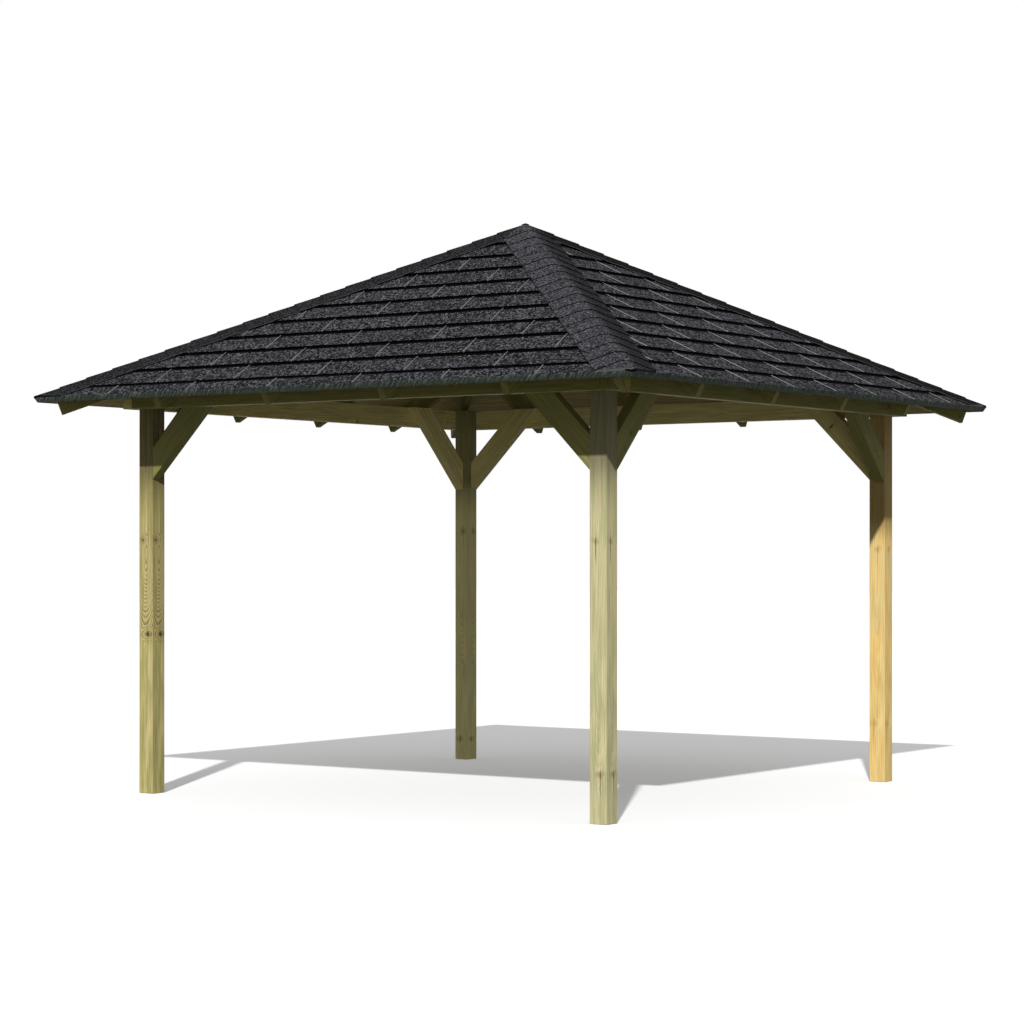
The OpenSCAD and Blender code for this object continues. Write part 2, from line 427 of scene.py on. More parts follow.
def softwood_group():
    """Growth rings round a wandering pith, with knots, fibres and fine drying cracks.
    Grain is a place in the log: along it, and across it from the pith. Bend is a stretch
    along the log, and how much deeper the pith lies before it. The painted shade is a stretch
    along the log, and how dark the wood is painted after it, for the shade under the roof. A
    spot is a place in the log where a branch comes out, and the branch's radius."""
    tree, w, given, result = group_tree(
        "Softwood", "ShaderNodeTree",
        {"Vector": ("Grain", "Bend", "Painted shade", "Upper spot", "Lower spot"),
         "Float": ("Ring", "Clear", "Crack", "Knots"), "Color": ("Pale", "Late", "Knot", "Tint")},
        {"Color": ("Color",), "Float": ("Roughness", "Height")})
    grain = given["Grain"]
    length = w.separate(grain)[0]
    # The pith wanders along the log, and lies deeper before the bend
    drift = w.streaks(grain, WANDER_PACE, 2.0)[1]
    wander = w.vector("MULTIPLY_ADD", drift, (0.0, STRAY, STRAY), (0.0, -STRAY / 2, -STRAY / 2))
    low, high, deeper = w.separate(given["Bend"])
    depth = w.ramp(length, low, high, deeper, 0.0)
    place = w.vector("ADD", w.vector("ADD", grain, wander), w.combine(0.0, 0.0, depth))
    along = w.separate(place)[0]
    across = w.vector("MULTIPLY", place, ACROSS)
    radius = w.vector("LENGTH", across)
    outwards = w.vector("NORMALIZE", across)
    # Small knots run straight out from the pith, one in most stretches of the log
    cell = w.vector("ADD", w.vector("MULTIPLY", outwards, (0.0, 0.5, 0.5)),
                    w.combine(w.math("DIVIDE", along, KNOT_STRETCH), 0.0, 0.0))
    knots = w.cells(cell, 1.0)
    branch = w.vector("NORMALIZE", w.vector("MULTIPLY", knots["Position"], ACROSS))
    sideways = w.times(radius, w.separate(w.vector("CROSS_PRODUCT", outwards, branch))[0])
    ahead = w.separate(w.vector("SUBTRACT", cell, knots["Position"]))[0]
    lengthways = w.times(KNOT_STRETCH, ahead)
    away = w.diagonal(sideways, lengthways)
    same_side = w.math("GREATER_THAN", w.vector("DOT_PRODUCT", outwards, branch), 0.0)
    chance = w.ramp(w.separate(knots["Color"])[0], 0.40, 1.0)
    knot_r = w.times(w.times(chance, same_side), KNOT_MOST)
    knot_r = w.times(knot_r, given["Knots"])
    swell = w.times(knot_r, w.ramp(away, 0.0, KNOT_PUSH_TO, KNOT_PUSH, 0.0))
    core = w.ramp(w.minus(away, knot_r), -0.002, 0.0015, 1.0, 0.0)
    core = w.times(core, w.math("GREATER_THAN", knot_r, KNOT_LEAST))
    dusk = w.ramp(away, 0.0, KNOT_DUSK_TO, KNOT_DUSK, 0.0)
    dusk = w.times(dusk, w.ramp(knot_r, 0.0, 0.008))
    # Knots and cracks at the two spots
    crack = 0.0
    for name in ("Upper spot", "Lower spot"):
        marks = branch_marks(w, grain, given[name], given["Crack"])
        core = w.most(core, marks[0])
        dusk = w.most(dusk, marks[1])
        swell = w.plus(swell, marks[2])
        crack = w.most(crack, marks[3])
    # Rings, which fade before the bend
    ripple = w.streaks(grain, RIPPLE_PACE, 2.0)[0]
    age = w.plus(w.plus(radius, swell), w.times(ripple, RIPPLE))
    count = w.math("DIVIDE", age, given["Ring"])
    phase = w.math("FRACT", count)
    late = w.times(w.ramp(phase, *LATE_WOOD[:2]), w.ramp(phase, *LATE_WOOD[2:], 1.0, 0.0))
    year = w.node("ShaderNodeTexWhiteNoise", {"W": w.math("FLOOR", count)},
                  noise_dimensions="1D").outputs["Value"]
    late = w.times(late, w.line(year, 0.5, 0.5))
    plain = w.ramp(length, w.minus(low, FADE), low, FADED, 1.0)
    late = w.times(w.times(late, plain), given["Clear"])
    # Fibres and slow changes of tone
    fine = w.streaks(grain, FIBRE_PACE, 3.0)[0]
    tone = w.streaks(grain, TONE_PACE, 4.0)[0]
    # Colour
    color = w.mix(late, given["Pale"], given["Late"])
    color = w.mix(w.ramp(tone, *TINTED), color, w.mix(1.0, color, given["Tint"], "MULTIPLY"))
    # Fibres, times the painted shade that darkens the tops of the posts under the roof
    start, end, darkest = w.separate(given["Painted shade"])
    shade = w.times(w.ramp(fine, *FIBRES), w.ramp(length, start, end, 1.0, darkest))
    color = w.brighten(color, shade)
    color = w.mix(dusk, color, given["Late"])
    color = w.mix(core, color, given["Knot"])
    color = w.mix(w.times(crack, CRACK_SHADE), color, CRACK_COLOR)
    w.tree.links.new(color, result["Color"])
    # Late wood is smoother and stands a little prouder
    rough = w.line(late, -0.12, w.line(fine, 0.16, 0.62))
    w.tree.links.new(rough, result["Roughness"])
    height = w.plus(w.times(late, 0.5), w.times(fine, 0.5))
    height = w.minus(height, w.times(crack, CRACK_DEPTH))
    w.tree.links.new(height, result["Height"])
    return tree


def granule_group():
    """Mineral granules pressed into bitumen, longer down the slope than across it."""
    tree, w, given, result = group_tree(
        "Granules", "ShaderNodeTree", {"Vector": ("Lay",), "Float": ("Grain size",)},
        {"Float": ("Tone", "Height")})
    lay, size = given["Lay"], given["Grain size"]
    flake_share, grit_share, clump_width = 0.84, 0.16, 0.10
    flake_bump, grit_bump = -0.7, -0.3
    long = w.times(size, GRANULE_LENGTH)
    flakes = w.cells(w.vector("DIVIDE", lay, w.combine(size, long, size)), 1.0)
    grit = w.cells(lay, GRIT_SCALE)
    clumps = w.noise(lay, CLUMP_SCALE, 3.0)[0]
    tone = w.plus(w.times(w.separate(flakes["Color"])[0], flake_share),
                  w.times(w.separate(grit["Color"])[0], grit_share))
    tone = w.plus(tone, w.spread(clumps, clump_width))
    w.tree.links.new(tone, result["Tone"])
    bump = w.plus(w.times(flakes["Distance"], flake_bump), w.times(grit["Distance"], grit_bump))
    w.tree.links.new(bump, result["Height"])
    return tree


# -------- materials

def blank_material(name):
    """A new material with an empty tree, and the wiring of the tree."""
    material = bpy.data.materials.new(name)
    material.use_nodes = True
    material.node_tree.nodes.clear()
    return material, Wiring(material.node_tree)


def surface(w, color, roughness, height, strength, depth, specular):
    """Ends a material's tree in a shader with a bumpy surface."""
    normal = w.node("ShaderNodeBump", {"Strength": strength, "Distance": depth, "Height": height})
    shader = w.node("ShaderNodeBsdfPrincipled", {
        "Base Color": color, "Roughness": roughness, "Normal": normal.outputs[0],
        "Specular IOR Level": specular})
    w.node("ShaderNodeOutputMaterial", {"Surface": shader.outputs[0]})


def timber_material(name, look):
    """Softwood, with the values of its look on the sockets of the same names."""
    material, w = blank_material(name)
    values = {"Grain": w.attribute("grain"), **PLAIN_WOOD, **look}
    wood = w.node("ShaderNodeGroup", values, node_tree=SOFTWOOD).outputs
    surface(w, wood["Color"], wood["Roughness"], wood["Height"],
            strength=0.5, depth=0.0006, specular=0.15)
    return material


def felt_color(w, tone, stops):
    """Dark to pale for a tone, from pairs of a tone and a colour."""
    ramp = w.node("ShaderNodeValToRGB", (tone,))
    points = ramp.color_ramp.elements
    while len(points) < len(stops):
        points.new(0.5)
    for point, (position, color) in zip(points, stops):
        point.position = position
        point.color = (*color, 1.0)
    return ramp.outputs[0]


def granules_on(w, size):
    """Granules of a size, laid out on the piece, and how rough they are."""
    made = w.node("ShaderNodeGroup", {"Lay": w.attribute("lay"), "Grain size": size},
                  node_tree=GRANULES).outputs
    return made["Tone"], made["Height"], w.ramp(made["Tone"], 0.0, 1.0, *GRANULE_ROUGH)


def shingle_material():
    """Dark mineral shingles: black butts, a black band of painted shade under each butt, and
    cut walls in the slots painted pale as light where they face the key light.
    """
    material, w = blank_material("shingle_granules")
    tone, height, rough = granules_on(w, SHINGLE_GRAIN)
    color = felt_color(w, tone, GRANULE_STOPS)
    each = w.line(w.attribute("tone", "Fac"), *TAB_TONES)
    color = w.brighten(color, each)
    # The painted shade under each butt deepens quickly, and stops just short of black
    deepening, deepest = 40.0, 0.99
    painted_crevice_shade = w.ramp(w.attribute("climb", "Fac"), w.attribute("painted_crevice_shade", "Fac"), 1.0, 0.0, deepening)
    color = w.mix(w.math("MINIMUM", painted_crevice_shade, deepest), color, BLACK)
    # Painted light on the cut ends of tabs that face the key light, and the caps' pale cut rims
    color = w.mix(w.attribute("cut", "Fac"), color, SHINGLE_PAINTED_LIGHT_COLOR)
    # Black bitumen butts, lips and underlay, and black as painted shade on the end walls near the
    # butt
    color = w.mix(w.attribute("bare", "Fac"), color, BLACK)
    surface(w, color, rough, height, strength=0.6, depth=0.0012, specular=0.01)
    return material


def cap_material():
    """The caps' finer granules, with black butts, pale cut rims over black painted shade,
    and painted light and shade on each wing.
    """
    material, w = blank_material("cap_granules")
    tone, height, rough = granules_on(w, CAP_GRAIN)
    color = felt_color(w, w.line(tone, *CAP_EVENNESS), GRANULE_STOPS)
    each = w.line(w.attribute("tone", "Fac"), *CAP_TONES)
    # Each cap's own tone, times the painted light and shade of its wing
    color = w.brighten(color, w.times(each, w.attribute("shade", "Fac")))
    color = w.mix(w.attribute("cut", "Fac"), color, CAP_CUT_COLOR)
    # Black bitumen butts, and black as painted shade on the lower part of each rim
    color = w.mix(w.attribute("bare", "Fac"), color, BLACK)
    surface(w, color, rough, height, strength=0.5, depth=0.0010, specular=0.04)
    return material


def edge_material():
    """Dark green mineral felt with slanting streaks."""
    material, w = blank_material("edge_felt_green")
    place = w.node("ShaderNodeTexCoord").outputs["Object"]
    slant, stretch, grit_width = 0.55, 0.16, 0.16
    x, y, z = w.separate(place)
    slanted = w.combine(w.minus(w.plus(x, y), w.times(z, slant)), w.times(z, stretch), 0.0)
    streaks = w.node("ShaderNodeTexNoise", {
        "Vector": slanted, "Scale": 95.0, "Detail": 3.0, "Roughness": 0.6}).outputs[0]
    grit = w.separate(w.cells(place, 420.0)["Color"])[0]
    tone = w.plus(streaks, w.spread(grit, grit_width))
    color = felt_color(w, tone, FELT_STOPS)
    rough = w.ramp(streaks, 0.3, 0.7, 0.92, 0.80)
    surface(w, color, rough, tone, strength=0.5, depth=0.0012, specular=0.2)
    return material


# -------- geometry trees

def board_tree():
    """Lays one board again and again up the slope, each with its own stretch of the log."""
    tree, w, given, result = group_tree(
        "Lay boards", "GeometryNodeTree",
        {"Geometry": ("Board",), "Int": ("Count", "Seed"), "Float": ("Width",),
         "Material": ("Finish",)},
        {"Geometry": ("Boards",)})
    up = w.combine(0.0, given["Width"], 0.0)
    line = w.node("GeometryNodeMeshLine", {"Count": given["Count"], "Offset": up}, mode="OFFSET")
    laid = w.scatter(line.outputs[0], given["Board"])
    tagged = w.store(laid, "log", w.luck_vector(*BOARD_STRETCH, given["Seed"]), "FLOAT_VECTOR")
    moved = w.store(w.realize(tagged), "grain", w.vector("ADD", w.stored("grain"), w.stored("log")),
                    "FLOAT_VECTOR", "POINT")
    w.finish(moved, given["Finish"], result)
    return tree


def course_tree():
    """Lays one shingle tab over a slope: tabs along each course, and courses up the slope."""
    tree, w, given, result = group_tree(
        "Lay courses", "GeometryNodeTree",
        {"Geometry": ("Shingle",), "Int": ("Courses", "Tabs", "Seed"),
         "Float": ("First", "Exposure", "Tab", "Start", "Step", "Painted crevice shade"),
         "Material": ("Finish",)},
        {"Geometry": ("Shingles",)})
    total = w.times(given["Courses"], given["Tabs"])
    points = w.node("GeometryNodePoints", {"Count": total})
    index = w.node("GeometryNodeInputIndex").outputs[0]
    course = w.math("FLOOR", w.math("DIVIDE", w.plus(index, 0.5), given["Tabs"]))
    number = w.minus(index, w.times(course, given["Tabs"]))
    # The first slot of every course lies within a tab of the left end of the slope
    left = w.times(w.times(given["Tabs"], given["Tab"]), -0.5)
    slot = w.line(course, given["Step"], w.minus(given["Start"], left))
    slot = w.plus(w.math("FLOORED_MODULO", slot, given["Tab"]), left)
    x = w.line(number, given["Tab"], slot)
    raised = w.line(w.minus(course, 1.0), given["Exposure"], given["First"])
    y = w.times(raised, w.math("GREATER_THAN", course, 0.5))
    stray = w.luck_vector([-most for most in TAB_STRAY], TAB_STRAY, given["Seed"])
    set_out = w.node("GeometryNodeSetPosition", {
        "Geometry": points.outputs[0], "Position": w.vector("ADD", w.combine(x, y, 0.0), stray)})
    laid = w.scatter(set_out.outputs[0], given["Shingle"])
    tagged = w.store(laid, "tone", w.luck(w.plus(given["Seed"], 1.0)))
    # The second course covers more of the first one than the others do of each other
    covered = w.minus(1.0, w.math("DIVIDE", given["First"], given["Exposure"]))
    lowest = w.math("LESS_THAN", course, 0.5)
    # Where the black band of painted shade under the next butt starts
    painted_crevice_shade = w.minus(given["Painted crevice shade"], w.times(covered, lowest))
    w.finish(w.realize(w.store(tagged, "painted_crevice_shade", painted_crevice_shade)), given["Finish"], result)
    return tree


def cap_tree():
    """Laps one hip cap over the next, up the hip."""
    tree, w, given, result = group_tree(
        "Lap caps", "GeometryNodeTree",
        {"Geometry": ("Cap",), "Int": ("Count", "Seed"), "Float": ("Exposure", "Start"),
         "Material": ("Finish",)},
        {"Geometry": ("Caps",)})
    line = w.node("GeometryNodeMeshLine", {
        "Count": given["Count"], "Start Location": w.combine(given["Start"], 0.0, 0.0),
        "Offset": w.combine(given["Exposure"], 0.0, 0.0)}, mode="OFFSET")
    laid = w.scatter(line.outputs[0], given["Cap"])
    tagged = w.store(laid, "tone", w.luck(given["Seed"]))
    w.finish(w.realize(tagged), given["Finish"], result)
    return tree


# -------- shared mesh work

def new_object(name, data):
    made = bpy.data.objects.new(name, data)
    bpy.context.scene.collection.objects.link(made)
    return made


def opened(mesh):
    """A mesh's shape, to be worked on."""
    bm = bmesh.new()
    bm.from_mesh(mesh)
    return bm


def saved(bm, mesh):
    bm.to_mesh(mesh)
    bm.free()
    return mesh


def repeat(mesh, tree, **inputs):
    """Runs a geometry tree on a mesh, and gives the result as a plain mesh with the tree's
    finish on all its faces."""
    source = new_object("source", mesh)
    modifier = source.modifiers.new("repeat", "NODES")
    modifier.node_group = tree
    for item in tree.interface.items_tree:
        if item.in_out == "INPUT" and item.name in inputs:
            modifier[item.identifier] = inputs[item.name]
    depsgraph = bpy.context.evaluated_depsgraph_get()
    plain = bpy.data.meshes.new_from_object(source.evaluated_get(depsgraph))
    source.modifiers.clear()
    bpy.data.objects.remove(source)
    plain.materials.clear()
    plain.materials.append(inputs["Finish"])
    return plain


def quarter_turn(number):
    return Matrix.Rotation(math.radians(90 * number), 4, "Z")


def slope_frame(number):
    """Turns a slope's own axes into the frame's: along the eaves, up the slope, and out of
    it, from the middle of the lower edge of the deck's top."""
    lie = Matrix.Translation((0, -DECK_HALF, EAVES_Z)) @ Matrix.Rotation(SLOPE, 4, "X")
    return quarter_turn(number) @ lie


def hip_frame(number):
    """Turns a hip's own axes into the frame's: up the hip, across it, and out of the roof,
    from the corner of the deck's top."""
    corner = Matrix.Translation((-DECK_HALF, -DECK_HALF, EAVES_Z))
    lie = Matrix.Rotation(math.radians(45), 4, "Z") @ Matrix.Rotation(-HIP_SLOPE, 4, "Y")
    return quarter_turn(number) @ corner @ lie


def trim(bm, planes):
    """Cuts away what lies beyond each plane, and closes the cuts."""
    for point, outwards in planes:
        bmesh.ops.bisect_plane(bm, geom=bm.verts[:] + bm.edges[:] + bm.faces[:], dist=ON_PLANE,
                               plane_co=point, plane_no=outwards, clear_outer=True)
        bmesh.ops.holes_fill(bm, edges=[edge for edge in bm.edges if edge.is_boundary])


def slope_planes(number, back):
    """The planes that end a slope: the two hips, moved back from them, and the edge of the
    deck, which is square to the slope."""
    turn = quarter_turn(number).to_3x3()
    lie = slope_frame(number)
    planes = [(lie.translation, lie.to_3x3() @ Vector((0, -1, 0)))]
    for side in (-1, 1):
        outwards = Vector((side, 1, 0)).normalized()
        planes.append((turn @ (outwards * -back), turn @ outwards))
    return planes


def add_piece(name, mesh, slot, *nodes):
    """Puts a finished mesh in place of its CAD nodes."""
    piece = new_object(name, mesh)
    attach(piece, "root")
    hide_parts(*nodes)


def write_lay(bm):
    """Keeps every point's place before it is turned, for patterns that follow a slope."""
    lay = bm.verts.layers.float_vector.new("lay")
    for vert in bm.verts:
        vert[lay] = vert.co


def whole_faces(node):
    """The shape of a CAD node, with its loose triangles joined into whole faces."""
    bm = opened(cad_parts[node].data)
    bmesh.ops.remove_doubles(bm, verts=bm.verts, dist=MERGE)
    bmesh.ops.dissolve_limit(bm, angle_limit=FLAT, verts=bm.verts, edges=bm.edges)
    return bm


# -------- timber

def loose_parts(bm):
    """The separate bodies of a mesh, as lists of vertices."""
    seen, parts = set(), []
    for start in bm.verts:
        if start in seen:
            continue
        seen.add(start)
        part = [start]
        for vert in part:
            for edge in vert.link_edges:
                other = edge.other_vert(vert)
                if other not in seen:
                    seen.add(other)
                    part.append(other)
        parts.append(part)
    return parts


def write_grain(bm, pith, chance):
    """Gives each timber its place in a log of its own: the log runs along its longest
    edge, and its pith lies to the side of the timber's middle."""
    grain = bm.verts.layers.float_vector.new("grain")
    for part in loose_parts(bm):
        edges = {edge for vert in part for edge in vert.link_edges}
        longest = max(edges, key=lambda edge: (round(edge.calc_length(), 5), -edge.index))
        along = (longest.verts[1].co - longest.verts[0].co).normalized()
        # The grain runs upwards, and in a level timber to the right or the back
        if along.dot(Vector((0.1, 0.01, 1))) < 0:
            along.negate()
        across = Vector((0, 0, 1)).cross(along)
        upright = across.length < 0.01
        across = Vector((1, 0, 0)) if upright else across.normalized()
        axes = (across, along.cross(across))
        middle = []
        for axis in axes:
            places = [vert.co.dot(axis) for vert in part]
            middle.append((min(places) + max(places)) / 2)
        start = chance.uniform(0, LOG)
        turn = chance.uniform(0, 2 * math.pi)
        aside = (pith * math.cos(turn), pith * math.sin(turn))
        for vert in part:
            vert[grain] = (vert.co.dot(along) + start,
                           vert.co.dot(axes[0]) - middle[0] + aside[0],
                           vert.co.dot(axes[1]) - middle[1] + aside[1])


def lay_grain(bm):
    """Lays the same grain on each face of a post: up it, across it from its middle, and in
    from the pith's depth."""
    grain = bm.loops.layers.float_vector.new("grain")
    middle = sum((vert.co for vert in bm.verts), Vector()) / len(bm.verts)
    for face in bm.faces:
        if abs(face.normal.x) > abs(face.normal.y):
            outwards = Vector((math.copysign(1, face.normal.x), 0, 0))
        else:
            outwards = Vector((0, math.copysign(1, face.normal.y), 0))
        rightwards = Vector((0, 0, 1)).cross(outwards)
        for loop in face.loops:
            place = loop.vert.co - middle
            loop[grain] = (loop.vert.co.z, place.dot(rightwards), POST_PITH)


def timber(node, slot, material, add_grain):
    """A CAD timber with its arrises eased, and its grain written on it."""
    bm = whole_faces(node)
    sharp = [edge for edge in bm.edges if edge.calc_face_angle(0) > SHARP]
    bmesh.ops.bevel(bm, geom=sharp, offset=ARRIS, segments=ARRIS_STEPS, profile=0.5,
                    affect="EDGES", clamp_overlap=True)
    bm.edges.index_update()
    bm.normal_update()
    add_grain(bm)
    mesh = saved(bm, bpy.data.meshes.new(node + "_timber"))
    mesh.materials.append(material)
    add_piece(node + "_timber", mesh, slot, node)


def build_timbers():
    chance = random.Random(TIMBER_SEED)
    for corner, look in POST_LOOKS.items():
        material = timber_material("post_timber_" + corner, look)
        timber("post_" + corner, "post_timber", material, lay_grain)
    green = timber_material("frame_timber_painted_shade", FRAME_PAINTED_SHADE_LOOK)
    yellow = timber_material("frame_timber_painted_light", FRAME_PAINTED_LIGHT_LOOK)
    frames = [name for name in sorted(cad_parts)
              if name.startswith(("beam", "brace", "hip_rafter", "long_jack", "short_jack"))]
    for node in frames:
        # Painted light on the listed frames, painted shade on the rest
        material = yellow if node in PAINTED_LIGHT_FRAMES else green
        timber(node, "frame_timber", material, lambda bm: write_grain(bm, FRAME_PITH, chance))


def board_mesh():
    """One deck board with a groove along each lower edge, in the slope's own axes."""
    profile = [(0, 0), (BOARD_W, 0), (BOARD_W, BOARD_GROOVE - DECK_T),
               (BOARD_W - BOARD_GROOVE, -DECK_T), (BOARD_GROOVE, -DECK_T),
               (0, BOARD_GROOVE - DECK_T)]
    bm = bmesh.new()
    ends = [[bm.verts.new((x, y, z)) for y, z in profile] for x in (-ROOF_HALF, ROOF_HALF)]
    bm.faces.new(ends[0])
    bm.faces.new(ends[1][::-1])
    for i in range(len(profile)):
        j = (i + 1) % len(profile)
        bm.faces.new((ends[0][j], ends[0][i], ends[1][i], ends[1][j]))
    grain = bm.verts.layers.float_vector.new("grain")
    for vert in bm.verts:
        vert[grain] = (vert.co.x, vert.co.y - BOARD_W / 2, vert.co.z - BOARD_PITH)
    bmesh.ops.recalc_face_normals(bm, faces=bm.faces)
    return saved(bm, bpy.data.meshes.new("board"))


def build_decks():
    material = timber_material("deck_board_brown", BOARD_LOOK)
    tree = board_tree()
    for number, side in enumerate(SIDES):
        mesh = repeat(board_mesh(), tree, Count=math.ceil(SLOPE_LENGTH / BOARD_W), Width=BOARD_W,
                      Seed=BOARD_SEED + number, Finish=material)
        mesh.transform(slope_frame(number))
        bm = opened(mesh)
        trim(bm, slope_planes(number, 0.0))
        add_piece("deck_" + side + "_boards", saved(bm, mesh), "deck_board", "deck_" + side)


# -------- shingles

def tab_mesh(width, exposure, lean, left_painted_light, right_painted_light):
    """One shingle tab: a wedge, thick at its butt, that runs under the next course. Its
    ends lean, and their cuts are painted pale as light where they face the key light."""
    full = width - SLOT
    sides = [0.0, TAB_RIM] + [full * i / TAB_COLUMNS for i in range(1, TAB_COLUMNS)]
    sides += [full - TAB_RIM, full]
    columns = len(sides) - 1
    rows = [(0.0, -TAB_LIP), (TAB_LIP, 0.0), (TAB_FOOT, 0.0)]
    rows += [(exposure * i / TAB_ROWS, 0.0) for i in range(1, TAB_ROWS + 1)]
    rows.append((exposure + TAB_LAP, 0.0))
    fall = (COVER_T - UNDERLAY_T) / exposure * TAB_FALL
    bm = bmesh.new()
    climb = bm.verts.layers.float.new("climb")
    bare = bm.faces.layers.float.new("bare")
    cut = bm.faces.layers.float.new("cut")
    top, bottom = [], []
    for y, drop in rows:
        above, below = [], []
        for side in sides:
            x = SLOT / 2 + side + lean * y / exposure
            height = max(COVER_T - fall * y + drop, UNDERLAY_T / 2)
            above.append(bm.verts.new((x, y, height)))
            below.append(bm.verts.new((x, y, 0.0)))
            above[-1][climb] = y / exposure
        top.append(above)
        bottom.append(below)
    for r in range(len(rows) - 1):
        behind_foot = rows[r][0] >= TAB_FOOT
        for i in range(columns):
            face = bm.faces.new((top[r][i], top[r][i + 1], top[r + 1][i + 1], top[r + 1][i]))
            # The top strips at the ends of the tab take their cut's painted light
            if behind_foot:
                face[cut] = {0: left_painted_light, columns - 1: right_painted_light}.get(i, 0.0)
            bm.faces.new((bottom[r + 1][i], bottom[r + 1][i + 1], bottom[r][i + 1], bottom[r][i]))
        # End walls: their cuts take painted light where they face the key light, and near the butt
        # they are black as painted shade
        for i, order, pale in ((0, (1, 0), left_painted_light), (columns, (0, 1), right_painted_light)):
            a, b = r + order[0], r + order[1]
            wall = bm.faces.new((bottom[a][i], bottom[b][i], top[b][i], top[a][i]))
            wall[cut] = pale if behind_foot else 0.0
            wall[bare] = 0.0 if behind_foot else 1.0
    for i in range(columns):
        butt = bm.faces.new((bottom[0][i], bottom[0][i + 1], top[0][i + 1], top[0][i]))
        butt[bare] = 1.0
        bm.faces.new((top[-1][i], top[-1][i + 1], bottom[-1][i + 1], bottom[-1][i]))
    # The lip is black too
    for i in range(columns):
        for face in top[0][i].link_faces:
            if top[1][i] in face.verts and top[0][i + 1] in face.verts:
                face[bare] = 1.0
    return saved(bm, bpy.data.meshes.new("tab"))


def add_underlay(bm):
    """A thin black sheet on the deck, which shows at the bottom of the slots."""
    bare = bm.faces.layers.float["bare"]
    made = bmesh.ops.create_cube(bm, size=1.0)
    size = Matrix.Diagonal((2 * ROOF_HALF, SLOPE_LENGTH, UNDERLAY_T, 1))
    bmesh.ops.transform(bm, matrix=Matrix.Translation((0, SLOPE_LENGTH / 2, UNDERLAY_T / 2)) @ size,
                        verts=made["verts"])
    for vert in made["verts"]:
        for face in vert.link_faces:
            face[bare] = 1.0


def build_shingles():
    material = shingle_material()
    tree = course_tree()
    for number, side in enumerate(SIDES):
        courses, ends = SLOPE_COVERS[number]
        tab = tab_mesh(courses["Tab"], courses["Exposure"], *ends)
        # More courses and tabs than fit, as each course starts off the slope
        mesh = repeat(tab, tree, Courses=math.ceil(SLOPE_LENGTH / courses["Exposure"]) + 1,
                      Tabs=math.ceil(2 * ROOF_HALF / courses["Tab"]) + 2,
                      Seed=TAB_SEED + number, Finish=material, **courses)
        bm = opened(mesh)
        add_underlay(bm)
        write_lay(bm)
        bm.transform(slope_frame(number))
        trim(bm, slope_planes(number, HIP_CUT))
        add_piece("shingles_" + side + "_tabs", saved(bm, mesh), "shingle", "shingles_" + side)


# -------- hip caps

def fold_point(x, s, height):
    """A point of a hip cap, in the hip's own axes: x up the hip, s across the folded sheet
    from the hip, and its height out of the roof. The fold is round at the hip."""
    if abs(s) <= CAP_BEND:
        turn = HIP_FOLD * s / CAP_BEND
        centre = -CAP_BEND / math.sin(HIP_FOLD)
        radius = CAP_BEND / math.tan(HIP_FOLD) + height
        return (x, radius * math.sin(turn), centre + radius * math.cos(turn))
    y = abs(s) * math.cos(HIP_FOLD) + height * math.sin(HIP_FOLD)
    z = height * math.cos(HIP_FOLD) - abs(s) * math.sin(HIP_FOLD)
    return (x, math.copysign(1, s) * y, z)


